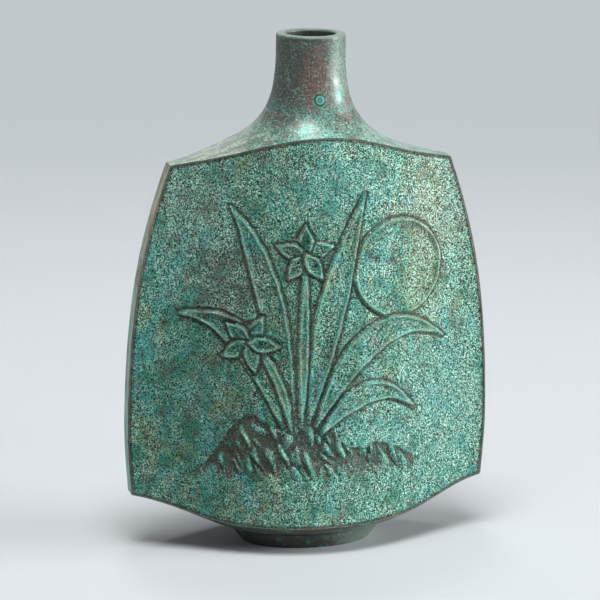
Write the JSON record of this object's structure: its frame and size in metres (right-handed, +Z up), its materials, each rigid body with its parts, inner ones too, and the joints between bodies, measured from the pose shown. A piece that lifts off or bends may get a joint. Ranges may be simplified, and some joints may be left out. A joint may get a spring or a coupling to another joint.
{
  "type": "flat flower vase",
  "caption": "Flat cast copper-alloy flower vase with bulged faces, narrow sides, trumpet shoulder, round neck and an oval foot.",
  "frame": {"origin": "middle of the foot's flat bottom, on the surface it stands on", "axes": "+X across the vase's width to the right of the front panel, +Y from the front panel to the back panel, +Z up through the neck"},
  "size_m": [0.1946, 0.077, 0.27],
  "materials": {
    "green_patina": "mottled verdigris over a fine pebbled casting",
    "burnished_patina": "smooth brown and green patina, lightly waxed",
    "dark_bronze": "smooth dark patina",
    "raw_bronze": "plain brown cast metal"
  },
  "bodies": {
    "root": {"front_panel": "green_patina", "back_panel": "green_patina", "left_side_wall": "green_patina", "right_side_wall": "green_patina", "shoulder": "burnished_patina", "neck": "burnished_patina", "neck_plug_front": "burnished_patina", "neck_plug_back": "burnished_patina", "underside": "green_patina", "foot_ring": "dark_bronze", "base_plate": "raw_bronze"}
  },
  "joints": []
}
